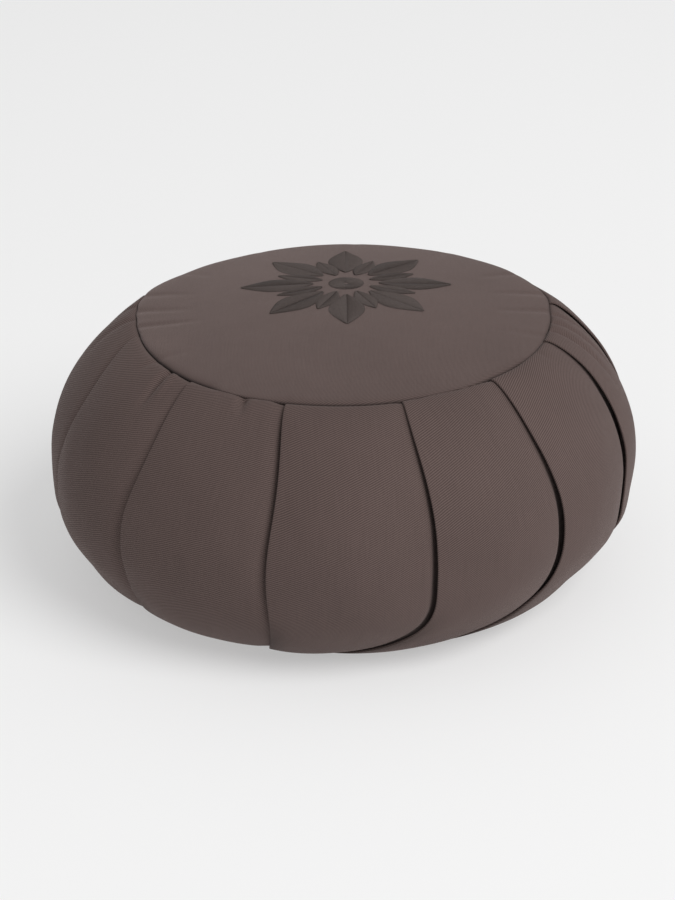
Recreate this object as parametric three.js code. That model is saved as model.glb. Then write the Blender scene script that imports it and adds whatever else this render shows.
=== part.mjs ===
// Round meditation cushion: a pleated side band drawn in to a round panel above and below.
// Millimetres, +Z up, the origin on the floor under the middle, the front towards -Y.
import * as THREE from 'three';

// Overall sizes
const WIDEST_RADIUS = 161.5;
const WIDEST_HEIGHT = 65.6;
const TOP_SEAM_RADIUS = 114;
const TOP_SEAM_HEIGHT = 143;
const BASE_SEAM_RADIUS = 112;
const BASE_SEAM_HEIGHT = 4;
const CROWN_HEIGHT = 7;
const RESTING_RADIUS = 98;
const LEAN = 3.6;

// How sharply the side is drawn in towards each seam, and above the girth round the back, which
// starts and is reached at these angles in degrees from the front
const DRAWN_IN_ABOVE = 1.46;
const DRAWN_IN_BELOW = 0.88;
const DRAWN_IN_BEHIND = 2.4;
const BEHIND_FROM = 92;
const BEHIND_TO = 116;

// How far the top seam is drawn in from its circle, or let out where less than nought, at angles in
// degrees from the front; the side follows it over this reach
const SEAM_REACH = 26;
const TOP_SEAM = [
  { angle: -150, drawn: 0 },
  { angle: -132, drawn: -1.5 },
  { angle: -112, drawn: -5.2 },
  { angle: -104, drawn: -4.4 },
  { angle: -97, drawn: -2.3 },
  { angle: -90, drawn: -0.3 },
  { angle: -80, drawn: 1.2 },
  { angle: -58, drawn: 2 },
  { angle: -38, drawn: 1.2 },
  { angle: -27, drawn: -0.4 },
  { angle: -10, drawn: 0.1 },
  { angle: 43, drawn: 0.2 },
  { angle: 60, drawn: -0.3 },
  { angle: 76, drawn: 0.2 },
  { angle: 90, drawn: -0.8 },
  { angle: 104, drawn: -4 },
  { angle: 124, drawn: -3.4 },
  { angle: 142, drawn: -1.5 },
  { angle: 160, drawn: 0 },
  { angle: 210, drawn: 0 },
];

// Cloth panels: thickness, the gap to the filled body, the roll of the cut edge into the seam
const PANEL_THICKNESS = 2;
const PANEL_GAP = 0.4;
const SEAM_GAP = 0.6;
const EDGE_ROLL_WIDTH = 7;
const EDGE_ROLL_DROP = 1.2;

// Knife pleats at the seams, where they are sewn flat
const SEWN_LIP = 0.5;
const SEWN_FOLD_RADIUS = 0.3;
const SEWN_MOUTH = 0.5;
const SEWN_SPREAD = 0.35;

// Knife pleats where they stand open
const FOLD_RADIUS = 0.6;
const UNDERLAP = 12;
const UNDERLAP_GAP = 0.9;
const UNDERLAP_SINK = 0.7;
const LIP_FADE = 24;
const OPENING_POWER = 0.75;
const FILLING_POWER = 1.1;
const MOUTH_SPAN = 50;
const SWING_POWER = 4;

// One row for each pleat, going round from the back left, with the angle in degrees from the front
// of its fold edge at the top seam, at the widest girth and at the base seam, and how far it bows
// aside between girth and top seam; then in millimetres how far the fold stands out, how wide its
// mouth is and how far the cloth before it takes to sink in; where on the swing of the side in degrees
// it gapes widest; and in millimetres how full the next panel is.
const PLEATS = [
  { top: -110, girth: -109, base: -112, bow: 0, lip: 0.7, mouth: 0.8, fade: 5.0, gapes: 0, full: 3.0 },
  { top: -80, girth: -75, base: -78, bow: 4.0, lip: 0.8, mouth: 0.9, fade: 4.0, gapes: 10, full: 3.4 },
  { top: -44.7, girth: -45.6, base: -49, bow: 2.4, lip: 1.2, mouth: 2.6, fade: 6.0, gapes: 5, full: 3.0 },
  { top: -15.5, girth: -14.0, base: -18, bow: 0.8, lip: 1.0, mouth: 3.0, fade: 4.6, gapes: 35, full: 2.6 },
  { top: 14.5, girth: 17.2, base: -8, bow: -1.2, lip: 1.6, mouth: 3.5, fade: 2.6, gapes: 4, full: 3.0 },
  { top: 41.5, girth: 45.2, base: 15, bow: -1.9, lip: 1.5, mouth: 3.1, fade: 2.6, gapes: 0, full: 3.2 },
  { top: 71.1, girth: 72.8, base: 64, bow: 0.2, lip: 1.7, mouth: 3.4, fade: 3.0, gapes: 16, full: 3.4 },
  { top: 98, girth: 97, base: 95, bow: -3.7, lip: 2.0, mouth: 2.6, fade: 3.2, gapes: 40, full: 3.0 },
  { top: 131, girth: 131.5, base: 126, bow: 0, lip: 1.2, mouth: 2.0, fade: 4.0, gapes: 5, full: 2.8 },
  { top: 161, girth: 162, base: 153, bow: 0.8, lip: 1.1, mouth: 2.2, fade: 3.4, gapes: -5, full: 3.2 },
  { top: 191, girth: 190.5, base: 182, bow: -0.8, lip: 1.3, mouth: 1.9, fade: 4.0, gapes: 12, full: 3.0 },
  { top: 220, girth: 221, base: 214, bow: 1.0, lip: 1.2, mouth: 2.2, fade: 3.6, gapes: 0, full: 2.8 },
];

// Mesh fineness
const SIDE_BANDS = 20;
const FACE_FRACTIONS = [0.08, 0.2, 0.35, 0.52, 0.68, 0.82, 0.91, 0.96];
const PANEL_FRACTIONS = [0.35, 0.68];

const CLOTH = { color: 0x5e504d, roughness: 0.92, metalness: 0 };

const QUARTER = Math.PI / 2;
const { degToRad: radians, radToDeg: inDegrees, lerp: mix, smoothstep, euclideanModulo } = THREE.MathUtils;

// A point at an angle from the front, a radius and a height; the middle leans to the right as it rises
function around(angle, radius, height) {
  const aside = LEAN * (height / (TOP_SEAM_HEIGHT + CROWN_HEIGHT) - 0.5);
  return new THREE.Vector3(radius * Math.sin(angle) + aside, -radius * Math.cos(angle), height);
}

// The plain side before pleating, from the base seam at -90 degrees to the top seam at +90
function plainSide(swing) {
  const upper = swing >= 0;
  const seamRadius = upper ? TOP_SEAM_RADIUS : BASE_SEAM_RADIUS;
  const seamHeight = upper ? TOP_SEAM_HEIGHT : BASE_SEAM_HEIGHT;
  const fall = Math.max(Math.cos(swing), 0) ** (upper ? DRAWN_IN_ABOVE : DRAWN_IN_BELOW);
  return new THREE.Vector2(
    seamRadius + (WIDEST_RADIUS - seamRadius) * fall,
    WIDEST_HEIGHT + Math.abs(seamHeight - WIDEST_HEIGHT) * Math.sin(swing),
  );
}

// How far each seam is drawn in at an angle round the middle
const evenSeam = () => 0;

function seamDrawn(angle) {
  const first = TOP_SEAM[0].angle;
  const degrees = euclideanModulo(inDegrees(angle) - first, 360) + first;
  const high = TOP_SEAM.findIndex((row) => row.angle > degrees);
  const [from, to] = [TOP_SEAM[high - 1], TOP_SEAM[high]];
  return mix(from.drawn, to.drawn, smoothstep(degrees, from.angle, to.angle));
}

// How much further in the side lies at an angle round the middle, below an uneven seam and at the back
function drawnIn(angle, swing) {
  if (swing < 0) return 0;
  const plain = plainSide(swing);
  const fromSeam = Math.hypot(plain.x - TOP_SEAM_RADIUS, TOP_SEAM_HEIGHT - plain.y);
  const fromFront = Math.abs(euclideanModulo(inDegrees(angle) + 180, 360) - 180);
  const fall = Math.max(Math.cos(swing), 0);
  return seamDrawn(angle) * Math.exp(-((fromSeam / SEAM_REACH) ** 2))
    + (WIDEST_RADIUS - TOP_SEAM_RADIUS) * (fall ** DRAWN_IN_ABOVE - fall ** DRAWN_IN_BEHIND)
    * smoothstep(fromFront, BEHIND_FROM, BEHIND_TO);
}

// The direction out of the plain side, level at the girth and upright at the seams
function outOfSide(swing) {
  const step = 0.02;
  const low = plainSide(Math.max(swing - step, -QUARTER));
  const high = plainSide(Math.min(swing + step, QUARTER));
  return new THREE.Vector2(high.y - low.y, low.x - high.x).normalize();
}

// A fold runs nearly upright, bows aside above the girth and swings aside towards its seams
function foldAngle(pleat, swing) {
  const seamEnd = swing >= 0 ? pleat.top : pleat.base;
  const bow = swing > 0 ? pleat.bow * Math.sin(2 * swing) ** 2 : 0;
  return radians(mix(pleat.girth, seamEnd, Math.sin(swing) ** SWING_POWER) + bow);
}

// The pleat's own sizes at one height on the side
function foldSizes(pleat, swing, open) {
  const lip = mix(SEWN_LIP, pleat.lip, open);
  const fold = mix(SEWN_FOLD_RADIUS, FOLD_RADIUS, open);
  const gape = Math.exp(-(((inDegrees(swing) - pleat.gapes) / MOUTH_SPAN) ** 2));
  const mouth = mix(SEWN_MOUTH, pleat.mouth, open * gape);
  return { lip, fold, floor: lip - 2 * fold - mouth };
}

// One closed section through the pleated side: along each fold the cloth of the panel before runs
// in under the fold, turns back, comes out round the fold edge and goes on as the next panel
function pleatedRing(swing) {
  const plain = plainSide(swing);
  const out = outOfSide(swing);
  const open = Math.max(Math.cos(swing), 0) ** OPENING_POWER;
  const filled = Math.max(Math.cos(swing), 0) ** FILLING_POWER;
  const ring = [];
  PLEATS.forEach((pleat, index) => {
    const last = index === PLEATS.length - 1;
    const next = PLEATS[last ? 0 : index + 1];
    const start = foldAngle(pleat, swing);
    const end = foldAngle(next, swing) + (last ? 4 * QUARTER : 0);
    const width = plain.x * (end - start);
    const { lip, fold, floor } = foldSizes(pleat, swing, open);
    const nextFloor = foldSizes(next, swing, open).floor;
    const place = (along, raised) => {
      const angle = start + along / plain.x;
      ring.push(around(angle, plain.x - drawnIn(angle, swing) + raised * out.x, plain.y + raised * out.y));
    };
    const face = (along) => lip * Math.exp(-((along / LIP_FADE) ** 2))
      + nextFloor * Math.exp(-(((width - along) / next.fade) ** 2))
      + filled * pleat.full * Math.sin(Math.PI * along / width);

    const sink = floor - open * UNDERLAP_SINK;
    const underside = sink + mix(SEWN_SPREAD, UNDERLAP_GAP, open);
    place(mix(-3 * SEWN_SPREAD, 0, open), floor);
    place(mix(-2 * SEWN_SPREAD, UNDERLAP, open), sink);
    place(mix(-SEWN_SPREAD, UNDERLAP + UNDERLAP_GAP / 2, open), (sink + underside) / 2);
    place(mix(0, UNDERLAP, open), underside);
    place(mix(SEWN_SPREAD, fold, open), lip - 2 * fold);
    place(mix(2 * SEWN_SPREAD, 0, open), lip - fold);
    place(mix(3 * SEWN_SPREAD, fold, open), lip);
    for (const fraction of FACE_FRACTIONS) place(width * fraction, face(width * fraction));
  });
  return ring;
}

// Height of the round panels: crowned above, flat on the floor below with the rim lifted to its seam
function crownHeight(radius) {
  const roll = Math.max(0, radius - TOP_SEAM_RADIUS + EDGE_ROLL_WIDTH) / EDGE_ROLL_WIDTH;
  const crown = CROWN_HEIGHT * (1 - (radius / TOP_SEAM_RADIUS) ** 2);
  return TOP_SEAM_HEIGHT + crown - EDGE_ROLL_DROP * roll ** 2;
}

function baseHeight(radius) {
  const lift = Math.max(0, radius - RESTING_RADIUS) / (BASE_SEAM_RADIUS - RESTING_RADIUS);
  return BASE_SEAM_HEIGHT * lift ** 2;
}

// A closed skin over rings of equal count, each end drawn to a point
function skin(startPoint, rings, endPoint) {
  const count = rings[0].length;
  const points = [startPoint, ...rings.flat(), endPoint];
  const index = [];
  const at = (row, column) => 1 + row * count + (column % count);
  for (let column = 0; column < count; column += 1) {
    index.push(0, at(0, column + 1), at(0, column));
    index.push(points.length - 1, at(rings.length - 1, column), at(rings.length - 1, column + 1));
    for (let row = 0; row < rings.length - 1; row += 1) {
      index.push(at(row, column), at(row, column + 1), at(row + 1, column + 1));
      index.push(at(row, column), at(row + 1, column + 1), at(row + 1, column));
    }
  }
  const geometry = new THREE.BufferGeometry().setFromPoints(points);
  geometry.setIndex(index);
  geometry.computeVertexNormals();
  return geometry;
}

// Rings inside a seam, each with a point for every point of the seam and the seam's own unevenness
function ringsInside(seam, radii, heightAt, unevenAt) {
  return radii.map((radius) => seam.map((point) => {
    const angle = Math.atan2(point.x - around(0, 0, point.z).x, -point.y);
    return around(angle, radius * (1 - unevenAt(angle) / TOP_SEAM_RADIUS), heightAt(radius));
  }));
}

// The filled body in its pleated band, let in by a panel's thickness at both ends
function pleatedBody() {
  const rings = [];
  for (let band = 0; band <= SIDE_BANDS; band += 1) {
    rings.push(pleatedRing(mix(-QUARTER, QUARTER, band / SIDE_BANDS)));
  }
  const baseFloor = (radius) => baseHeight(radius) + PANEL_THICKNESS + PANEL_GAP;
  const topFloor = (radius) => crownHeight(radius) - PANEL_THICKNESS - PANEL_GAP;
  const baseRadii = [...PANEL_FRACTIONS, 1].map((part) => part * BASE_SEAM_RADIUS);
  const topRadii = [...PANEL_FRACTIONS, 1].map((part) => part * TOP_SEAM_RADIUS);
  const below = ringsInside(rings[0], baseRadii, baseFloor, evenSeam);
  const above = ringsInside(rings[SIDE_BANDS], topRadii, topFloor, seamDrawn).reverse();
  return skin(around(0, 0, baseFloor(0)), [...below, ...rings, ...above], around(0, 0, topFloor(0)));
}

// A round sheet of one thickness between its lower and upper faces
function roundPanel(seam, radii, lowerAt, unevenAt) {
  const upperAt = (radius) => lowerAt(radius) + PANEL_THICKNESS;
  const lower = ringsInside(seam, radii, lowerAt, unevenAt);
  const upper = ringsInside(seam, radii, upperAt, unevenAt).reverse();
  return skin(around(0, 0, lowerAt(0)), [...lower, ...upper], around(0, 0, upperAt(0)));
}

function topPanel() {
  const rim = TOP_SEAM_RADIUS - SEAM_GAP;
  const radii = [...PANEL_FRACTIONS.map((part) => part * TOP_SEAM_RADIUS), rim - EDGE_ROLL_WIDTH, rim];
  const lowerAt = (radius) => crownHeight(radius) - PANEL_THICKNESS;
  return roundPanel(pleatedRing(QUARTER), radii, lowerAt, seamDrawn);
}

function basePanel() {
  const rim = BASE_SEAM_RADIUS - SEAM_GAP;
  const radii = [RESTING_RADIUS, (RESTING_RADIUS + rim) / 2, rim];
  return roundPanel(pleatedRing(-QUARTER), radii, baseHeight, evenSeam);
}

function piece(name, geometry) {
  const mesh = new THREE.Mesh(geometry, new THREE.MeshStandardMaterial(CLOTH));
  mesh.name = name;
  return mesh;
}

const cushion = new THREE.Group();
cushion.name = 'meditation_cushion';
cushion.add(piece('pleated_side', pleatedBody()));
cushion.add(piece('top_panel', topPanel()));
cushion.add(piece('base_panel', basePanel()));

export default cushion;
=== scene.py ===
# Looks of the round meditation cushion: pleated side, panels, embroidery, floor, light and camera
import math
from functools import partial

import bpy
import numpy as np
from mathutils import Matrix, Vector, noise


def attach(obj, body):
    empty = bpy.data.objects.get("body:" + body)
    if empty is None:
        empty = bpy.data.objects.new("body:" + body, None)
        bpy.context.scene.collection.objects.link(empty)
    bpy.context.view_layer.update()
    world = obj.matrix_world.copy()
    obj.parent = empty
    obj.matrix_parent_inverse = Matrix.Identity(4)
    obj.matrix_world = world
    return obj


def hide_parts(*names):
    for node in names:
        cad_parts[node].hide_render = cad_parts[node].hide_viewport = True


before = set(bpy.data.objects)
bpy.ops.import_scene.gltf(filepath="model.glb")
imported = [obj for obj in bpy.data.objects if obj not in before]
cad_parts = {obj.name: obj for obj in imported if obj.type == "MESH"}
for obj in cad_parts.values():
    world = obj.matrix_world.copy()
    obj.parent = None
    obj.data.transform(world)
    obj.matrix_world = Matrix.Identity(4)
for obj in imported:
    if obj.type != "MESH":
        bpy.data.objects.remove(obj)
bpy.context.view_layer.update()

# Metres in a millimetre
MM = 0.001


def table(columns, rows):
    """Rows with named columns."""
    return [dict(zip(columns, row)) for row in rows]


# Overall sizes in millimetres, as in the solids
WIDEST_RADIUS = 161.5
WIDEST_HEIGHT = 65.6
TOP_SEAM_RADIUS = 114.0
TOP_SEAM_HEIGHT = 143.0
BASE_SEAM_RADIUS = 112.0
BASE_SEAM_HEIGHT = 4.0
CROWN_HEIGHT = 7.0
RESTING_RADIUS = 98.0
LEAN = 3.6
PANEL_THICKNESS = 2.0
SEAM_GAP = 0.5

# How soon the side draws in from its girth, as powers of a cosine; between these angles in degrees from
# the front it comes to draw in sooner and to sink below the top seam, as it does round the back
DRAWN_IN_ABOVE = 1.46
DRAWN_IN_BELOW = 0.88
DRAWN_IN_BEHIND = 2.4
BEHIND_FROM, BEHIND_TO = 92.0, 116.0
BEHIND_SINK = 1.6
BEHIND_SINK_REACH = 7.0
# The slope of the side is taken over this much of its swing to either hand, in radians
SLOPE_STEP = 0.02

# The seam is a narrow valley: how wide its two sides roll in, how deep it is at the base, and how far
# down the cloth its drawing in is felt, in millimetres; then a row for each stretch of the top seam: its
# angle in degrees, how deep the valley is and how far it is drawn in, or let out where below nought
SEAM_ROLL = 1.5
BASE_SEAM_DIP = 1.2
SEAM_REACH = 26.0
TOP_SEAM = table(("angle", "dip", "drawn"), (
    (-150, 1.0, 0.0),
    (-132, 0.8, -1.5),
    (-112, 0.6, -5.2),
    (-104, 0.7, -4.4),
    (-97, 0.9, -2.3),
    (-90, 1.2, -0.3),
    (-80, 1.6, 1.2),
    (-58, 2.9, 2.0),
    (-39, 2.6, 1.2),
    (-33, 0.5, 0.0),
    (-27, 0.8, -0.4),
    (-20, 0.5, -0.1),
    (-15, 2.4, 0.2),
    (4, 2.0, 0.0),
    (18, 1.6, 0.1),
    (24, 0.8, 0.2),
    (34, 0.6, -0.2),
    (42, 2.0, 0.3),
    (50, 1.7, 0.0),
    (60, 0.6, -0.3),
    (70, 1.0, 0.0),
    (76, 1.4, 0.2),
    (90, 1.0, -0.8),
    (104, 1.0, -4.0),
    (124, 0.9, -3.4),
    (142, 0.9, -1.5),
    (160, 0.9, 0.0),
    (185, 1.0, -0.4),
    (210, 1.0, 0.0),
))

# Shade is painted into the cloth's colour inside the seam, in the mouths of the folds, and beside the
# folds
# where they turn under the side: how much, how far that reaches, the valley and the width of mouth that
# bring all of it, in millimetres, and the degrees of swing below the girth between which the last sets in
SEAM_SHADE_REACH = 0.75
SHADED_DIP = 2.6
FOLD_SHADE = 0.8
FOLD_SHADE_REACH = 1.4
SHADED_MOUTH = 1.9
LAP_SHADE = 0.6
LAP_SHADE_REACH = 7.0
LAP_SHADED_FROM, LAP_SHADED_TO = 20.0, 45.0
LEAST_LAPPED_MOUTH = 0.95

# Knife pleats, sewn flat at the seams and open between them, in millimetres; how far in degrees a fold
# wavers and what share of its width its mouth varies, and in how many waves
SEWN_LIP = 0.5
SEWN_FOLD_RADIUS = 0.3
SEWN_MOUTH = 0.5
FOLD_RADIUS = 0.6
UNDERLAP = 12.0
UNDERLAP_GAP = 0.9
UNDERLAP_SINK = 0.7
LIP_FADE = 24.0
FOLD_WAVER = 0.25
FOLD_WAVES = 5
MOUTH_UNEVEN = 0.15
MOUTH_WAVES = 4
# How a pleat opens, fills, gapes and swings aside on its way from seam to seam: three powers and, for
# the gaping, a span in degrees
OPENING_POWER = 0.75
FILLING_POWER = 1.1
SWING_POWER = 4
MOUTH_SPAN = 50.0
# Where the parts of a pleat lie from its fold line at the seams, where it is sewn flat
SEWN_SPREAD = 0.35
SEWN_TUCK, SEWN_DEEP, SEWN_BACK, SEWN_OUT, SEWN_FACE = (SEWN_SPREAD * step for step in (-3, -2, 0, 1, 3))
# The middle of each panel lies this much further along the cloth than that of the panel before
CLOTH_PITCH = 97.0

# A row for each pleat: the angle in degrees from the front of its fold edge at the top seam, at the
# widest girth and at the base seam, and how far it bows aside between girth and top seam; then in
# millimetres how far the fold stands out, how wide its mouth is and how far the cloth before it takes
# to sink in; where on the swing of the side in degrees it gapes widest; how full the next panel is
PLEATS = table(("top", "girth", "base", "bow", "lip", "mouth", "fade", "gapes", "full"), (
    (-110, -109, -112, 0, 0.7, 0.8, 5.0, 0, 3.0),
    (-80, -75, -78, 4.0, 0.8, 0.9, 4.0, 10, 3.4),
    (-44.7, -45.6, -49, 2.4, 1.2, 2.6, 6.0, 5, 3.0),
    (-15.5, -14.0, -18, 0.8, 1.0, 3.0, 4.6, 35, 2.6),
    (14.5, 17.2, -8, -1.2, 1.6, 3.5, 2.6, 4, 3.0),
    (41.5, 45.2, 15, -1.9, 1.5, 3.1, 2.6, 0, 3.2),
    (71.1, 72.8, 64, 0.2, 1.7, 3.4, 3.0, 4, 3.4),
    (98, 97, 95, -3.7, 2.0, 2.6, 3.2, 40, 3.0),
    (131, 131.5, 126, 0, 1.2, 2.0, 4.0, 5, 2.8),
    (161, 162, 153, 0.8, 1.1, 2.2, 3.4, -5, 3.2),
    (191, 190.5, 182, -0.8, 1.3, 1.9, 4.0, 12, 3.0),
    (220, 221, 214, 1.0, 1.2, 2.2, 3.6, 0, 2.8),
))

# Small creases that run from the top seam, down the side or in over the top panel: how they fade out, how
# far they take to reach their depth and what share of it they start with; then a row for each: the angle
# where it starts and how far it drifts in degrees, and its length, half width and depth in millimetres,
# which is that of a ridge where below nought
CREASE_FADE_POWER = 0.8
CREASE_START = 2.5
CREASE_AT_SEAM = 0.25
CREASE_COLUMNS = ("angle", "drift", "length", "width", "depth")
SIDE_CREASES = table(CREASE_COLUMNS, (
    (-54.0, 2.5, 28, 2.0, 4.6),
    (-51.2, 2.0, 22, 1.8, -1.4),
    (-61.5, -1.0, 12, 2.0, 1.6),
    (-26.6, 1.2, 13, 2.2, 4.2),
    (-33.0, 0.5, 9, 3.0, 0.6),
    (33.5, 0.6, 10, 2.6, 0.6),
    (63.0, 1.0, 14, 2.6, 0.6),
    (79.0, 1.5, 52, 2.2, 2.8),
    (84.5, 1.0, 48, 2.0, 2.6),
    (90.0, 0.0, 30, 1.8, 1.6),
    (-92.0, 2.0, 36, 2.0, 1.5),
    (-101.0, 1.5, 28, 2.0, 1.2),
    (118.0, 1.0, 22, 2.4, 0.7),
    (150.0, 1.0, 16, 2.6, 0.8),
    (178.0, -1.0, 20, 2.4, 0.7),
    (207.0, 1.0, 15, 2.4, 0.8),
    (238.0, 1.0, 22, 2.6, 0.7),
))
TOP_CREASES = table(CREASE_COLUMNS, (
    (-86.0, 3.0, 36, 2.2, 0.9),
    (-97.0, 2.0, 32, 2.6, 0.9),
    (-108.0, -2.0, 28, 2.4, 0.7),
    (-62.0, 2.0, 20, 2.4, 0.35),
    (-30.0, 1.0, 12, 3.0, 0.4),
    (22.0, 1.0, 14, 3.0, 0.3),
    (74.0, -2.0, 24, 2.8, 0.4),
    (92.0, -3.0, 32, 2.4, 0.8),
    (104.0, 2.0, 30, 2.4, 0.8),
    (121.0, 1.0, 24, 2.4, 0.7),
    (148.0, -2.0, 20, 2.8, 0.4),
    (176.0, 1.0, 18, 2.8, 0.4),
    (205.0, 2.0, 22, 2.8, 0.4),
    (233.0, -2.0, 24, 2.8, 0.4),
))

# Where the filling bulges, or is hollow where below nought: the middle of the place in degrees from the
# front and on the swing of the side, how far it spreads each way, and its height in millimetres
SWELLS = table(("angle", "swing", "breadth", "rise", "height"), (
    (-84, -20, 14, 10, 1.4),
    (-64, -38, 14, 12, -2.4),
    (60, -43, 16, 12, -3.2),
    (75, -28, 14, 11, 2.7),
))

# Lumps in the filling: how wide and high they are in millimetres and the seed that places them; how they
# fade towards the seams, and how far apart in the noise one seed is from the next
LUMPS = table(("size", "height", "seed"), (
    (46, 0.9, 1),
    (17, 0.35, 2),
))
LUMP_POWER = 0.7
LUMP_SHIFT = Vector((13.7, 7.3, 3.1))


def mix(a, b, share):
    return a + (b - a) * share


def eased(share):
    """A share from nought to one that starts and ends gently."""
    return share ** 2 * (3 - 2 * share)


def part_way(value, start, end):
    """How far a value lies on the way from start to end, from nought to one."""
    return np.clip((value - start) / (end - start), 0, 1)


def bell(distance, reach):
    """One at no distance, and little past twice the reach."""
    return np.exp(-((distance / reach) ** 2))


def turned(angle):
    """An angle in degrees brought to within half a turn of nought."""
    return (angle + 180) % 360 - 180


def around(angle, radius, height):
    """Points at an angle from the front, a radius and a height; the middle leans as it rises."""
    aside = LEAN * (height / (TOP_SEAM_HEIGHT + CROWN_HEIGHT) - 0.5)
    angle, radius, height, aside = np.broadcast_arrays(angle, radius, height, aside)
    return np.stack([radius * np.sin(angle) + aside, -radius * np.cos(angle), height], axis=-1)


def plain_side(swing):
    """Radius and height of the side without its folds, from the base seam to the top seam."""
    upper = swing >= 0
    seam_radius = np.where(upper, TOP_SEAM_RADIUS, BASE_SEAM_RADIUS)
    rise = np.where(upper, TOP_SEAM_HEIGHT - WIDEST_HEIGHT, WIDEST_HEIGHT - BASE_SEAM_HEIGHT)
    fall = np.maximum(np.cos(swing), 0) ** np.where(upper, DRAWN_IN_ABOVE, DRAWN_IN_BELOW)
    return seam_radius + (WIDEST_RADIUS - seam_radius) * fall, WIDEST_HEIGHT + rise * np.sin(swing)


def out_of_side(swing):
    """The way straight out of the plain side, as its share outwards and its share upwards."""
    low = plain_side(np.maximum(swing - SLOPE_STEP, -math.pi / 2))
    high = plain_side(np.minimum(swing + SLOPE_STEP, math.pi / 2))
    outwards, upwards = high[1] - low[1], low[0] - high[0]
    size = np.hypot(outwards, upwards)
    return outwards / size, upwards / size


def fold_angle(pleat, swing):
    end = pleat["top" if swing >= 0 else "base"]
    bow = pleat["bow"] * math.sin(2 * swing) ** 2 * (swing > 0)
    waver = FOLD_WAVER * math.cos(swing) * math.sin(FOLD_WAVES * swing + pleat["girth"])
    return math.radians(mix(pleat["girth"], end, math.sin(swing) ** SWING_POWER) + bow + waver)


def fold_sizes(pleat, swing):
    """How far the fold stands out, its radius, the level of the cloth under it and its mouth."""
    opened = max(math.cos(swing), 0) ** OPENING_POWER
    lip = mix(SEWN_LIP, pleat["lip"], opened)
    fold = mix(SEWN_FOLD_RADIUS, FOLD_RADIUS, opened)
    gape = opened * bell(math.degrees(swing) - pleat["gapes"], MOUTH_SPAN)
    uneven = 1 + MOUTH_UNEVEN * math.sin(MOUTH_WAVES * swing + 2 * pleat["girth"])
    mouth = mix(SEWN_MOUTH, pleat["mouth"] * uneven, gape)
    return lip, fold, lip - 2 * fold - mouth, mouth


def behind(angle):
    """Nought at the front and sides, one round the back."""
    return eased(part_way(np.abs(turned(np.degrees(angle))), BEHIND_FROM, BEHIND_TO))


def drawn_behind(angle, swing):
    """How much further in the side lies above its girth round the back."""
    fall = max(math.cos(swing), 0)
    inwards = (WIDEST_RADIUS - TOP_SEAM_RADIUS) * (fall ** DRAWN_IN_ABOVE - fall ** DRAWN_IN_BEHIND)
    return inwards * behind(angle) * (swing > 0)


def swell(angle, swing):
    """How far the filling bulges at angles on one row of the side."""
    total = np.zeros(angle.shape)
    for row in SWELLS:
        aside = bell(turned(np.degrees(angle) - row["angle"]), row["breadth"])
        total += row["height"] * aside * bell(math.degrees(swing) - row["swing"], row["rise"])
    return total


def creases(rows, angle, radius, along):
    """The height that a table of creases adds at angles and distances in from the seam."""
    total = np.zeros(np.broadcast(angle, along).shape)
    for row in rows:
        share = along / row["length"]
        line = row["angle"] + row["drift"] * np.minimum(share, 1)
        aside = np.radians(turned(np.degrees(angle) - line)) * radius
        starting = np.clip(along / CREASE_START, CREASE_AT_SEAM, 1)
        fade = np.clip(1 - share, 0, 1) ** CREASE_FADE_POWER * starting
        total -= row["depth"] * fade * bell(aside, row["width"])
    return total


def seam_at(angle, column):
    """A column of the top seam's table at angles in radians, smooth all the way round."""
    places = np.array([row["angle"] for row in TOP_SEAM], dtype=float)
    values = np.array([row[column] for row in TOP_SEAM], dtype=float)
    step = np.interp((np.degrees(angle) - places[0]) % 360 + places[0], places, np.arange(len(places)))
    low = np.minimum(step.astype(int), len(places) - 2)
    return mix(values[low], values[low + 1], eased(step - low))


def seam_shade(angle, distance):
    """How much shade is painted into the pulled-in crease of the top seam at distances from it."""
    return np.clip(seam_at(angle, "dip") / SHADED_DIP, 0, 1) * bell(distance, SEAM_SHADE_REACH)


def fold_shade(mouth):
    """How much shade is painted inside a mouth of this width."""
    return FOLD_SHADE * part_way(mouth, SEWN_MOUTH, SEWN_MOUTH + SHADED_MOUTH)


def lap_shade(pleat, swing):
    """How much shade is painted beside a fold where it turns under the side."""
    under = part_way(-math.degrees(swing), LAP_SHADED_FROM, LAP_SHADED_TO)
    wide = part_way(pleat["mouth"], LEAST_LAPPED_MOUTH, LEAST_LAPPED_MOUTH + SHADED_MOUTH)
    return LAP_SHADE * under * wide


def lumps(points, size, seed):
    """Smooth noise from -1 to 1 at points in millimetres."""
    return np.array([noise.noise(Vector(point) / size + LUMP_SHIFT * seed) for point in points])


# Rows of the side: how far from each seam they lie where they are close together, then where the even
# ones start and how many there are; the length of the side is measured in fine steps
ROWS_NEAR_SEAM = np.array([0.0, 0.5, 1.0, 1.6, 2.3, 3.1, 4.0, 5.0])
EVEN_ROWS_FROM = 6.5
EVEN_ROWS = 92
LENGTH_STEPS = 4001

# Points across a pleat, as shares of its face, where they draw together at the folds, of each layer of
# its tuck, of the turn between the layers and of its lip
FACE_POINTS = 42
FACE_EVENNESS = 0.55
EVEN_SHARES = np.linspace(0, 1, FACE_POINTS + 1)[:-1]
FACE_SHARES = mix(0.5 - 0.5 * np.cos(EVEN_SHARES * math.pi), EVEN_SHARES, FACE_EVENNESS)
TUCK_SHARES = np.linspace(0, 1, 6)
TURN_SHARES = np.linspace(0, 1, 5)[1:-1]
LIP_SHARES = np.linspace(0, 1, 8)[1:-1]


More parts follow.
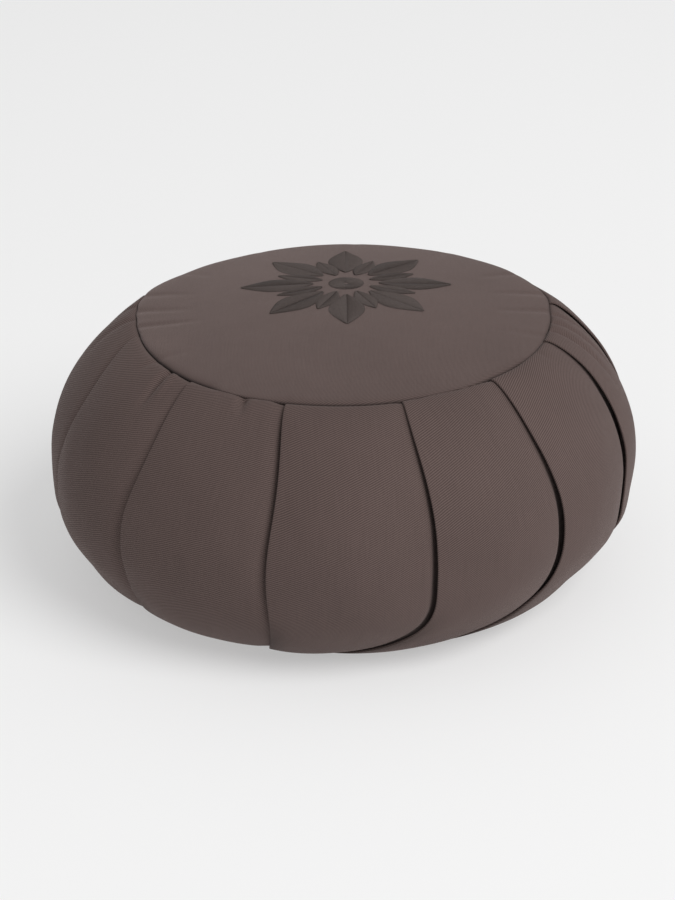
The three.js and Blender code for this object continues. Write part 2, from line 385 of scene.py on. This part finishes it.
def side_swings():
    """The swing of each row of the side, and how far up and down the cloth it is from the seams."""
    fine = np.linspace(-math.pi / 2, math.pi / 2, LENGTH_STEPS)
    radius, height = plain_side(fine)
    length = np.concatenate([[0], np.cumsum(np.hypot(np.diff(radius), np.diff(height)))])
    total = length[-1]
    even = np.linspace(EVEN_ROWS_FROM, total - EVEN_ROWS_FROM, EVEN_ROWS)
    marks = np.concatenate([ROWS_NEAR_SEAM, even, total - ROWS_NEAR_SEAM[::-1]])
    return np.interp(marks, length, fine), marks, total - marks


def pleat_section(pleat, after, swing, width, before):
    """A pleat and the panel up to the pleat after it: places along them, heights, cloth, painted shade.
    """
    opened = max(math.cos(swing), 0) ** OPENING_POWER
    lip, fold, level, mouth = fold_sizes(pleat, swing)
    next_level, next_mouth = fold_sizes(after, swing)[2:]
    sink = level - opened * UNDERLAP_SINK
    under = sink + mix(SEWN_SPREAD, UNDERLAP_GAP, opened)
    deep = mix(SEWN_DEEP, UNDERLAP, opened)
    back = mix(SEWN_BACK, UNDERLAP, opened)
    full = max(math.cos(swing), 0) ** FILLING_POWER * pleat["full"]
    crest = lip + full * math.sin(math.pi * fold / width)

    tuck_along = mix(mix(SEWN_TUCK, 0, opened), deep, TUCK_SHARES)
    tuck_raised = mix(level, sink, TUCK_SHARES)
    turn_out = opened * UNDERLAP_GAP / 2 * np.sin(math.pi * TURN_SHARES)
    turn_along = mix(deep, back, TURN_SHARES) + turn_out
    turn_raised = mix(sink, under, TURN_SHARES)
    under_along = mix(back, mix(SEWN_OUT, fold, opened), TUCK_SHARES)
    under_raised = mix(under, crest - 2 * fold, eased(TUCK_SHARES))
    bend = math.pi * (LIP_SHARES - 0.5)
    lip_along = mix(mix(SEWN_OUT, SEWN_FACE, LIP_SHARES), fold * (1 - np.cos(bend)), opened)
    lip_raised = crest - fold + fold * np.sin(bend)
    face_start = mix(SEWN_FACE, fold, opened)
    face_along = mix(face_start, width + mix(SEWN_TUCK, 0, opened), FACE_SHARES)
    face_raised = (lip * bell(face_along - face_start, LIP_FADE)
                   + next_level * bell(width - face_along, after["fade"])
                   + full * np.sin(math.pi * face_along / width))

    along = [tuck_along, turn_along, under_along, lip_along, face_along]
    raised = [tuck_raised, turn_raised, under_raised, lip_raised, face_raised]
    turn_at = fold - width / 2 - math.pi * fold
    cloth = [
        before / 2 + tuck_along - CLOTH_PITCH,
        turn_at - turn_along + fold,
        turn_at - under_along + fold,
        fold - width / 2 - fold * (math.pi / 2 - bend),
        face_along - width / 2,
    ]
    inside = fold_shade(mouth)
    beside = lap_shade(pleat, swing)
    shade = [
        np.full(len(tuck_along) + len(turn_along) + len(under_along), inside),
        np.maximum(inside * (1 - LIP_SHARES) ** 2, beside),
        np.maximum(fold_shade(next_mouth) * bell(width - face_along, FOLD_SHADE_REACH),
                   beside * bell(face_along, LAP_SHADE_REACH)),
    ]
    return tuple(np.concatenate(each) for each in (along, raised, cloth, shade))


def side_row(swing):
    """One section through the side: angles, heights over the plain side, cloth along it, painted shade.
    """
    radius = float(plain_side(swing)[0])
    folds = [fold_angle(pleat, swing) for pleat in PLEATS]
    folds.append(folds[0] + 2 * math.pi)
    widths = [radius * (end - start) for start, end in zip(folds, folds[1:])]
    sections = []
    for index, pleat in enumerate(PLEATS):
        after = PLEATS[(index + 1) % len(PLEATS)]
        along, raised, cloth, shade = pleat_section(pleat, after, swing, widths[index], widths[index - 1])
        sections.append((folds[index] + along / radius, raised, CLOTH_PITCH * index + cloth, shade))
    return tuple(np.concatenate(each) for each in zip(*sections))


def crown_height(radius, angle):
    roll = np.exp(-np.maximum(TOP_SEAM_RADIUS - radius, 0) / SEAM_ROLL)
    crown = CROWN_HEIGHT * (1 - (radius / TOP_SEAM_RADIUS) ** 2)
    return TOP_SEAM_HEIGHT + crown - seam_at(angle, "dip") * roll


def top_height(x, y):
    """The upper face of the top panel over a place on it."""
    radius = np.hypot(x, y)
    angle = np.arctan2(x, -y)
    return crown_height(radius, angle) + creases(TOP_CREASES, angle, radius, TOP_SEAM_RADIUS - radius)


def base_height(x, y):
    """The lower face of the base panel: flat where it rests, lifted to the seam at its edge."""
    lift = np.maximum(np.hypot(x, y) - RESTING_RADIUS, 0) / (BASE_SEAM_RADIUS - RESTING_RADIUS)
    return BASE_SEAM_HEIGHT * lift ** 2


def mesh_piece(name, points, faces, material, cloth, shade=None):
    """A smooth mesh from points in millimetres that carries its place on the cloth, and its painted
    shade.
    """
    mesh = bpy.data.meshes.new(name)
    mesh.from_pydata((np.asarray(points) * MM).tolist(), [], faces)
    layer = mesh.attributes.new("cloth", "FLOAT_VECTOR", "POINT")
    layer.data.foreach_set("vector", np.asarray(cloth, dtype=np.float32).ravel())
    if shade is not None:
        layer = mesh.attributes.new("shade", "FLOAT", "POINT")
        layer.data.foreach_set("value", np.asarray(shade, dtype=np.float32))
    mesh.polygons.foreach_set("use_smooth", [True] * len(mesh.polygons))
    mesh.materials.append(material)
    mesh.update()
    piece = bpy.data.objects.new(name, mesh)
    bpy.context.scene.collection.objects.link(piece)
    return piece


def ring_faces(rows, count):
    """Quads between rings of equal count that lie one after the other."""
    column = np.arange(count)
    beside = (column + 1) % count
    faces = []
    for row in range(rows - 1):
        low, high = row * count, (row + 1) * count
        faces += np.stack([low + column, low + beside, high + beside, high + column], axis=1).tolist()
    return faces


def fan_faces(centre, ring_start, count, upward):
    """Triangles from a middle point to a ring."""
    column = np.arange(count)
    beside = (column + 1) % count
    a, b = (column, beside) if upward else (beside, column)
    return np.stack([np.full(count, centre), ring_start + a, ring_start + b], axis=1).tolist()


# The twill: the pitch of its ribs and yarns in millimetres, how steeply the ribs climb, what share of the
# weave's height they are, and how far the yarns wander
RIB_PITCH = 1.05
RIB_RISE = math.radians(25)
RIB_SHARE = 0.85
YARN_PITCH = 0.5
WANDER = 3.0
# Scale and detail of the noise for that, for thick and thin yarns, for broad patches and for flecks; the
# thick and thin places are drawn out along the yarns
WANDER_NOISE = (0.06, 2)
SLUB_NOISE = (1.0, 2)
PATCH_NOISE = (16, 4)
FLECK_NOISE = (1.1, 3)
SLUB_STRETCH = (1.3, 0.05, 1)
# Colours of the cloth and of the shade painted into it, what the weave and each of these add to its
# tone, and the tones at which it is dark and light
CLOTH_DARK = (0.064, 0.0438, 0.0398)
CLOTH_LIGHT = (0.124, 0.0862, 0.0785)
CLOTH_SHADED = (0.022, 0.0145, 0.0130)
WEAVE_TONE, SLUB_TONE, PATCH_TONE, FLECK_TONE = 0.62, 0.22, 0.3, 0.14
DARK_TONE, LIGHT_TONE = 0.42, 0.88
# Finish of the cloth: rough, less so on the ribs, with a warm sheen that is stronger on the panels
CLOTH_ROUGHNESS = 0.9
VALLEY_ROUGHNESS = 0.97
RIB_SMOOTHING = -0.12
CLOTH_SPECULAR = 0.25
SHEEN_ROUGHNESS = 0.36
SHEEN_TINT = (1.0, 0.84, 0.80, 1)
SIDE_SHEEN = 0.12
PANEL_SHEEN = 0.23
WEAVE_BUMP = 0.75
WEAVE_DEPTH = 0.2 * MM
SLUB_BUMP = 0.35
# Sockets of the Mix node when it mixes colours
MIX_SHARE, MIX_FIRST, MIX_SECOND, MIX_RESULT = 0, 6, 7, 2


def material(name, colour, roughness):
    made = bpy.data.materials.new(name)
    made.use_nodes = True
    nodes = made.node_tree.nodes
    shader = nodes["Principled BSDF"]
    shader.inputs["Base Color"].default_value = (*colour, 1)
    shader.inputs["Roughness"].default_value = roughness
    return made, nodes, made.node_tree.links, shader


def node(nodes, kind, **settings):
    made = nodes.new(kind)
    for key, value in settings.items():
        setattr(made, key, value)
    return made


def math_node(nodes, links, operation, *values):
    made = node(nodes, "ShaderNodeMath", operation=operation)
    for slot, value in zip(made.inputs, values):
        if isinstance(value, (int, float)):
            slot.default_value = value
        else:
            links.new(value, slot)
    return made.outputs[0]


def noise_node(nodes, links, place, scale, detail):
    made = node(nodes, "ShaderNodeTexNoise")
    made.inputs["Scale"].default_value = scale
    made.inputs["Detail"].default_value = detail
    links.new(place, made.inputs["Vector"])
    return made.outputs["Fac"]


def ramp_node(nodes, links, tone, dark, light):
    """A colour between two, each given with the tone at which it is reached."""
    made = node(nodes, "ShaderNodeValToRGB")
    for element, (position, colour) in zip(made.color_ramp.elements, (dark, light)):
        element.position = position
        element.color = (*colour, 1)
    links.new(tone, made.inputs["Fac"])
    return made.outputs["Color"]


def bump_node(nodes, links, height, strength, depth):
    made = node(nodes, "ShaderNodeBump")
    made.inputs["Strength"].default_value = strength
    made.inputs["Distance"].default_value = depth
    links.new(height, made.inputs["Height"])
    return made.outputs["Normal"]


def twill(name, sheen):
    """Cotton twill: ribs that climb to the right, yarns that wander, uneven tone and painted shade."""
    middle = mix(np.array(CLOTH_DARK), np.array(CLOTH_LIGHT), 0.5)
    made, nodes, links, shader = material(name, middle, CLOTH_ROUGHNESS)
    calc = partial(math_node, nodes, links)
    cloud = partial(noise_node, nodes, links)
    cloth = node(nodes, "ShaderNodeAttribute", attribute_name="cloth").outputs["Vector"]
    parts = node(nodes, "ShaderNodeSeparateXYZ")
    links.new(cloth, parts.inputs[0])

    drift = calc("MULTIPLY", calc("SUBTRACT", cloud(cloth, *WANDER_NOISE), 0.5), WANDER)
    over = calc("ADD", parts.outputs["X"], drift)
    rib = calc("SUBTRACT", calc("MULTIPLY", over, math.sin(RIB_RISE) / RIB_PITCH),
               calc("MULTIPLY", parts.outputs["Y"], math.cos(RIB_RISE) / RIB_PITCH))
    rib_height = calc("MULTIPLY_ADD", calc("COSINE", calc("MULTIPLY", rib, 2 * math.pi)), 0.5, 0.5)
    yarn_height = calc("ABSOLUTE", calc("SINE", calc("MULTIPLY", over, math.pi / YARN_PITCH)))
    weave = calc("MULTIPLY_ADD", rib_height, RIB_SHARE, calc("MULTIPLY", yarn_height, 1 - RIB_SHARE))

    stretch = node(nodes, "ShaderNodeMapping")
    stretch.inputs["Scale"].default_value = SLUB_STRETCH
    links.new(cloth, stretch.inputs["Vector"])
    slub = cloud(stretch.outputs[0], *SLUB_NOISE)
    patch = cloud(node(nodes, "ShaderNodeTexCoord").outputs["Object"], *PATCH_NOISE)
    fleck = cloud(cloth, *FLECK_NOISE)
    tone = calc("MULTIPLY", fleck, FLECK_TONE)
    for layer, weight in ((patch, PATCH_TONE), (slub, SLUB_TONE), (weave, WEAVE_TONE)):
        tone = calc("MULTIPLY_ADD", layer, weight, tone)

    # The shade attribute paints shade into the colour, mixing it towards the shaded cloth colour
    shade = node(nodes, "ShaderNodeAttribute", attribute_name="shade")
    painted_shade = node(nodes, "ShaderNodeMix", data_type="RGBA")
    lit = ramp_node(nodes, links, tone, (DARK_TONE, CLOTH_DARK), (LIGHT_TONE, CLOTH_LIGHT))
    links.new(shade.outputs["Fac"], painted_shade.inputs[MIX_SHARE])
    links.new(lit, painted_shade.inputs[MIX_FIRST])
    painted_shade.inputs[MIX_SECOND].default_value = (*CLOTH_SHADED, 1)
    links.new(painted_shade.outputs[MIX_RESULT], shader.inputs["Base Color"])
    links.new(calc("MULTIPLY_ADD", weave, RIB_SMOOTHING, VALLEY_ROUGHNESS), shader.inputs["Roughness"])
    height = calc("MULTIPLY_ADD", slub, SLUB_BUMP, weave)
    links.new(bump_node(nodes, links, height, WEAVE_BUMP, WEAVE_DEPTH), shader.inputs["Normal"])
    shader.inputs["Specular IOR Level"].default_value = CLOTH_SPECULAR
    shader.inputs["Sheen Weight"].default_value = sheen
    shader.inputs["Sheen Roughness"].default_value = SHEEN_ROUGHNESS
    shader.inputs["Sheen Tint"].default_value = SHEEN_TINT
    return made


SIDE_CLOTH = twill("side_twill", SIDE_SHEEN)
PANEL_CLOTH = twill("panel_twill", PANEL_SHEEN)

# The side is closed inside the panels: how far in from the seams, and at what heights in millimetres
BASE_CAP_INSET = 0.4
BASE_CAP_HEIGHT = BASE_SEAM_HEIGHT + 2.6
TOP_CAP_INSET = 3.0
TOP_CAP_EDGE_HEIGHT = TOP_SEAM_HEIGHT - 5.0
TOP_CAP_MIDDLE_HEIGHT = TOP_SEAM_HEIGHT - 1.0


def cap_ring(ring, radius, height):
    """A ring inside another one, with its points at the same angles."""
    middle = around(0, 0, ring[:, 2])
    return around(np.arctan2(ring[:, 0] - middle[:, 0], -ring[:, 1]), radius, height)


def lumpy(points, opened):
    """Points of the side, moved out or in by the lumps of the filling."""
    outward = points - around(0, 0, points[:, 2])
    outward[:, 2] = 0
    outward /= np.linalg.norm(outward, axis=1)[:, None]
    raised = sum(row["height"] * lumps(points, row["size"], row["seed"]) for row in LUMPS)
    return points + outward * (opened * raised)[:, None]


def pleated_side():
    """The pleated side with the filling inside it."""
    swings, from_base, from_top = side_swings()
    points, cloth, shade = [], [], []
    for swing, below, above in zip(swings, from_base, from_top):
        angle, raised, strip, dark = side_row(swing)
        radius, height = (float(value) for value in plain_side(swing))
        out, up = (float(value) for value in out_of_side(swing))
        valley = seam_at(angle, "dip") * math.exp(-above / SEAM_ROLL)
        base_valley = BASE_SEAM_DIP * math.exp(-below / SEAM_ROLL)
        creased = creases(SIDE_CREASES, angle, radius, np.full(angle.shape, above))
        sunk = BEHIND_SINK * behind(angle) * math.exp(-above / BEHIND_SINK_REACH)
        raised = raised - valley - base_valley + creased - sunk
        drawn = seam_at(angle, "drawn") * bell(above, SEAM_REACH)
        drawn = drawn + drawn_behind(angle, swing) - swell(angle, swing)
        points.append(around(angle, radius - drawn + raised * out, height + raised * up))
        cloth.append(np.stack([strip, np.full(strip.shape, below), np.zeros(strip.shape)], axis=1))
        # Painted shade of the fold mouths and of the seam crease, whichever is darker
        shade.append(np.maximum(dark, seam_shade(angle, above)))

    count, rows = len(points[0]), len(points)
    opened = np.repeat(np.maximum(np.cos(swings), 0) ** LUMP_POWER, count)
    lower = cap_ring(points[0], BASE_SEAM_RADIUS - BASE_CAP_INSET, BASE_CAP_HEIGHT)
    upper = cap_ring(points[-1], TOP_SEAM_RADIUS - TOP_CAP_INSET, TOP_CAP_EDGE_HEIGHT)
    middles = around(0, 0, np.array([BASE_CAP_HEIGHT, TOP_CAP_MIDDLE_HEIGHT]))
    all_points = np.concatenate([lower, lumpy(np.concatenate(points), opened), upper, middles])
    all_cloth = np.concatenate([cloth[0], *cloth, cloth[-1], np.zeros((2, 3))])
    # The caps that close the side inside the panels are painted fully shaded
    all_shade = np.concatenate([shade[0], *shade, np.ones(count + 2)])
    faces = ring_faces(rows + 2, count)
    end = (rows + 2) * count
    faces += fan_faces(end, 0, count, False) + fan_faces(end + 1, (rows + 1) * count, count, True)
    return mesh_piece("pleated_side_cloth", all_points, faces, SIDE_CLOTH, all_cloth, all_shade)


# Rings of a panel: how many segments they have; on its outer face an even run from the first radius to
# this far from the rim, and then closer steps to it; on its inner face steps from the rim and radii
PANEL_SEGMENTS = 288
PANEL_RINGS = 40
PANEL_FIRST_RADIUS = 4.0
PANEL_EDGE = 8.0
PANEL_EDGE_STEPS = np.array([6.4, 5.0, 3.8, 2.8, 2.0, 1.3, 0.7, 0.3, 0.0])
PANEL_INNER_STEPS = np.array([0.3, 4.0, 12.0])
PANEL_INNER_RADII = (70.0, 35.0)
# A point times this is its place without its height
LEVEL = np.array([1, 1, 0])


def round_panel(name, seam_radius, outer_face, thickness, upward):
    """A round sheet: its outer face from the middle to the rim, then its inner face back."""
    rim = seam_radius - SEAM_GAP
    even = np.linspace(PANEL_FIRST_RADIUS, rim - PANEL_EDGE, PANEL_RINGS)
    outer = [(radius, 0) for radius in (*even, *(rim - PANEL_EDGE_STEPS))]
    inner = [(radius, thickness) for radius in (*(rim - PANEL_INNER_STEPS), *PANEL_INNER_RADII)]
    turn = np.linspace(0, 2 * math.pi, PANEL_SEGMENTS, endpoint=False)
    rings = []
    for radius, inwards in outer + inner:
        x, y = radius * np.sin(turn), -radius * np.cos(turn)
        rings.append(np.stack([x, y, outer_face(x, y) - inwards], axis=1))
    middle = outer_face(np.zeros(1), np.zeros(1))[0]
    flat = np.concatenate([*rings, [[0, 0, middle], [0, 0, middle - thickness]]])
    cloth = flat * LEVEL
    shade = np.zeros(len(flat))
    if upward:
        radius = np.hypot(flat[:, 0], flat[:, 1])
        angle = np.arctan2(flat[:, 0], -flat[:, 1])
        # Shade is painted into the top panel along its seam
        shade = seam_shade(angle, rim - radius)
        drawn = seam_at(angle, "drawn") * bell(seam_radius - radius, SEAM_REACH)
        flat[:, :2] *= (1 - drawn / np.maximum(radius, 1))[:, None]
    points = flat + around(0, 0, flat[:, 2]) * LEVEL
    count = PANEL_SEGMENTS * len(rings)
    faces = ring_faces(len(rings), PANEL_SEGMENTS)
    faces += fan_faces(count, 0, PANEL_SEGMENTS, False)
    faces += fan_faces(count + 1, count - PANEL_SEGMENTS, PANEL_SEGMENTS, True)
    if upward:
        faces = [face[::-1] for face in faces]
    return mesh_piece(name, points, faces, PANEL_CLOTH, cloth, shade)


side = pleated_side()
top = round_panel("top_panel_cloth", TOP_SEAM_RADIUS, top_height, PANEL_THICKNESS, True)
base = round_panel("base_panel_cloth", BASE_SEAM_RADIUS, base_height, -PANEL_THICKNESS, False)
for piece, node_replaced, slot in (
        (side, "pleated_side", "side_cloth"),
        (top, "top_panel", "panel_cloth"),
        (base, "base_panel", "panel_cloth")):
    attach(piece, "root")
    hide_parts(node_replaced)

# Embroidery on the top, a round rosette of plain leaves in satin stitch: its middle, then a row for each
# ring of leaves: how many, the angle of the first, where they start and end, how wide they are to either
# hand, all in millimetres and degrees, and how much the stitches slant
ROSETTE_MIDDLE = (2.0, 34.0)
LEAF_RINGS = table(("count", "first", "inner", "outer", "half_width", "slant"), (
    (8, 0.0, 18.0, 60.0, 10.0, 0.62),
    (8, 22.5, 14.0, 42.0, 5.8, 0.55),
))
# Powers that set where a leaf is widest and how full it is, and the narrowest width that gets a stitch
LEAF_WIDEST_POWER = 0.8
LEAF_FULL_POWER = 0.85
LEAST_WIDTH = 0.5
# The heart of the rosette: its stitches start at two radii in turn, spaced wider than in the leaves
HEART_RADIUS = 10.0
HEART_STARTS = (3.0, 1.2)
HEART_SPACING = 1.25
# Threads: how close they lie, how far past the midrib they start, how they thin out at their ends and how
# they arch over the cloth, in millimetres, shares and powers
THREAD_PITCH = 0.62
THREAD_OVERLAP = 0.15
THREAD_RADIUS = 0.33
THREAD_TIP = 0.55
TAPER_POWER = 0.5
THREAD_LIFT = 0.55
THREAD_SINK = 0.08
LIFT_POWER = 0.6
LIFT_ENDS = (0.02, 0.98)
THREAD_STEPS = 6
THREAD_SIDES = 5
# The length that each thread takes up in the pattern of its tone and ply
PATTERN_LENGTH = 9
UP = np.array([0, 0, 1.0])
# Colours and finish of the thread
THREAD_COLOUR = (0.076, 0.058, 0.053)
THREAD_DARK = (0.057, 0.0435, 0.0395)
THREAD_LIGHT = (0.091, 0.070, 0.064)
THREAD_DARK_TONE, THREAD_LIGHT_TONE = 0.3, 0.75
THREAD_NOISE = (0.9, 3)
THREAD_ROUGHNESS = 0.6
THREAD_SPECULAR = 0.3
PLY_SCALE = 2.2
PLY_BUMP = 0.3
PLY_DEPTH = 0.1 * MM


def leaf_threads(ring, turn):
    """Ends of the threads of one leaf, to both hands of its midrib."""
    along = np.array([math.sin(turn), math.cos(turn)])
    across = np.array([along[1], -along[0]])
    length = ring["outer"] - ring["inner"]
    threads = []
    for place in np.arange(0, length, THREAD_PITCH):
        share = place / length
        width = ring["half_width"] * math.sin(math.pi * share ** LEAF_WIDEST_POWER) ** LEAF_FULL_POWER
        if width < LEAST_WIDTH:
            continue
        lead = ring["slant"] * width * (1 - share)
        root = along * (ring["inner"] + place)
        for way in (-1, 1):
            tip = root + along * lead + across * way * width
            threads.append((root - across * way * THREAD_OVERLAP, tip))
    return threads


def rosette_threads():
    """Ends of every thread, as pairs of points on the top panel."""
    threads = []
    for ring in LEAF_RINGS:
        for leaf in range(ring["count"]):
            threads += leaf_threads(ring, math.radians(ring["first"] + 360 * leaf / ring["count"]))
    spokes = int(2 * math.pi * HEART_RADIUS / (THREAD_PITCH * HEART_SPACING))
    for spoke in range(spokes):
        turn = 2 * math.pi * spoke / spokes
        way = np.array([math.sin(turn), math.cos(turn)])
        threads.append((way * HEART_STARTS[spoke % 2], way * HEART_RADIUS))
    return np.array(threads) + np.array(ROSETTE_MIDDLE)


def thread_material():
    made, nodes, links, shader = material("embroidery_thread", THREAD_COLOUR, THREAD_ROUGHNESS)
    cloth = node(nodes, "ShaderNodeAttribute", attribute_name="cloth").outputs["Vector"]
    tone = noise_node(nodes, links, cloth, *THREAD_NOISE)
    dark, light = (THREAD_DARK_TONE, THREAD_DARK), (THREAD_LIGHT_TONE, THREAD_LIGHT)
    links.new(ramp_node(nodes, links, tone, dark, light), shader.inputs["Base Color"])
    ply = node(nodes, "ShaderNodeTexWave", bands_direction="DIAGONAL")
    ply.inputs["Scale"].default_value = PLY_SCALE
    links.new(cloth, ply.inputs["Vector"])
    twist = bump_node(nodes, links, ply.outputs["Fac"], PLY_BUMP, PLY_DEPTH)
    links.new(twist, shader.inputs["Normal"])
    shader.inputs["Specular IOR Level"].default_value = THREAD_SPECULAR
    return made


def embroidery():
    """A round thread for each stitch, arched over the top panel."""
    threads = rosette_threads()
    count = len(threads)
    shares = np.linspace(0, 1, THREAD_STEPS)
    path = threads[:, None, 0] + (threads[:, None, 1] - threads[:, None, 0]) * shares[None, :, None]
    lift = THREAD_LIFT * np.sin(math.pi * np.clip(shares, *LIFT_ENDS)) ** LIFT_POWER - THREAD_SINK
    height = top_height(path[..., 0], path[..., 1]) + lift[None, :]
    place = np.concatenate([path, height[..., None]], axis=2)
    run = place[:, -1] - place[:, 0]
    run /= np.linalg.norm(run, axis=1)[:, None]
    aside = np.cross(run, UP)
    aside /= np.linalg.norm(aside, axis=1)[:, None]
    bend = (2 * math.pi * np.arange(THREAD_SIDES) / THREAD_SIDES)[None, None, :, None]
    slim = THREAD_RADIUS * mix(THREAD_TIP, 1, np.sin(math.pi * shares) ** TAPER_POWER)
    spread = np.cos(bend) * aside[:, None, None, :] + np.sin(bend) * UP
    points = (place[:, :, None, :] + slim[None, :, None, None] * spread).reshape(-1, 3)
    points[:, 0] += around(0, 0, points[:, 2])[:, 0]
    each = THREAD_STEPS * THREAD_SIDES
    one = np.array(ring_faces(THREAD_STEPS, THREAD_SIDES))
    faces = (one[None] + each * np.arange(count)[:, None, None]).reshape(-1, 4).tolist()
    number = np.repeat(np.arange(count), each)
    length = np.tile(np.repeat(shares * PATTERN_LENGTH, THREAD_SIDES), count)
    cloth = np.stack([number, length, np.zeros(count * each)], axis=1)
    return mesh_piece("top_embroidery", points, faces, thread_material(), cloth)


rosette = embroidery()
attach(rosette, "root")

# The floor, which glows a little so that shadows on it stay light, and lies just under the cushion; the
# light and its place, aim, size and power; the sky; in metres and watts
FLOOR_COLOUR = (0.5, 0.5, 0.5)
FLOOR_GLOW = 0.42
FLOOR_ROUGHNESS = 0.7
FLOOR_SPECULAR = 0.1
FLOOR_REACH = 12.0
FLOOR_HEIGHT = -0.0004
KEY_PLACE = (2.7, -2.4, 3.5)
KEY_AIM = (0, 0, 0.05)
KEY_SIZE = 3.4
KEY_POWER = 179
SKY_STRENGTH = 0.5
WHITE = (1, 1, 1, 1)


def floor():
    made, *_, shader = material("pale_floor", FLOOR_COLOUR, FLOOR_ROUGHNESS)
    shader.inputs["Specular IOR Level"].default_value = FLOOR_SPECULAR
    shader.inputs["Emission Color"].default_value = WHITE
    shader.inputs["Emission Strength"].default_value = FLOOR_GLOW
    mesh = bpy.data.meshes.new("floor")
    signs = ((-1, -1), (1, -1), (1, 1), (-1, 1))
    corners = [(x * FLOOR_REACH, y * FLOOR_REACH, FLOOR_HEIGHT) for x, y in signs]
    mesh.from_pydata(corners, [], [(0, 1, 2, 3)])
    mesh.materials.append(made)
    piece = bpy.data.objects.new("floor", mesh)
    bpy.context.scene.collection.objects.link(piece)


def key_light():
    light = bpy.data.lights.new("key", "AREA")
    light.shape = "DISK"
    light.size = KEY_SIZE
    light.energy = KEY_POWER
    lamp = bpy.data.objects.new("key", light)
    lamp.location = KEY_PLACE
    lamp.rotation_euler = (Vector(KEY_AIM) - Vector(KEY_PLACE)).to_track_quat("-Z", "Y").to_euler()
    bpy.context.scene.collection.objects.link(lamp)


def sky():
    world = bpy.data.worlds.new("studio")
    world.use_nodes = True
    background = world.node_tree.nodes["Background"]
    background.inputs["Color"].default_value = WHITE
    background.inputs["Strength"].default_value = SKY_STRENGTH
    bpy.context.scene.world = world


# The camera: eye at a distance and rise from a point on the cushion's axis, which falls on a given
# pixel of the 675 by 900 frame; rolled a little
FRAME_WIDE, FRAME_HIGH = 675, 900
FOCAL_PIXELS = 2320.0
SENSOR_HEIGHT = 36
EYE_DISTANCE = 1.311
EYE_RISE = math.radians(25.5)
AIM_HEIGHT = 0.075
AIM_PIXEL = (342.4, 428.5)
CAMERA_ROLL = -0.0190


def camera():
    back = Vector((0, -math.cos(EYE_RISE), math.sin(EYE_RISE)))
    up = Vector((0, math.sin(EYE_RISE), math.cos(EYE_RISE)))
    eye = Vector((0, 0, AIM_HEIGHT)) + back * EYE_DISTANCE
    right_share = (AIM_PIXEL[0] - FRAME_WIDE / 2) / FOCAL_PIXELS
    up_share = (FRAME_HIGH / 2 - AIM_PIXEL[1]) / FOCAL_PIXELS
    forward = (-back - Vector((1, 0, 0)) * right_share - up * up_share).normalized()
    level = forward.cross(Vector((0, 0, 1))).normalized()
    upright = level.cross(forward)
    right = level * math.cos(CAMERA_ROLL) + upright * math.sin(CAMERA_ROLL)
    top_way = upright * math.cos(CAMERA_ROLL) - level * math.sin(CAMERA_ROLL)
    lens = bpy.data.cameras.new("camera")
    lens.sensor_fit = "VERTICAL"
    lens.sensor_height = SENSOR_HEIGHT
    lens.lens = FOCAL_PIXELS / FRAME_HIGH * SENSOR_HEIGHT
    eye_piece = bpy.data.objects.new("camera", lens)
    turn = Matrix((right, top_way, -forward)).transposed().to_4x4()
    eye_piece.matrix_world = Matrix.Translation(eye) @ turn
    bpy.context.scene.collection.objects.link(eye_piece)
    bpy.context.scene.camera = eye_piece


floor()
sky()
key_light()
camera()
bpy.context.scene.view_settings.view_transform = "Standard"
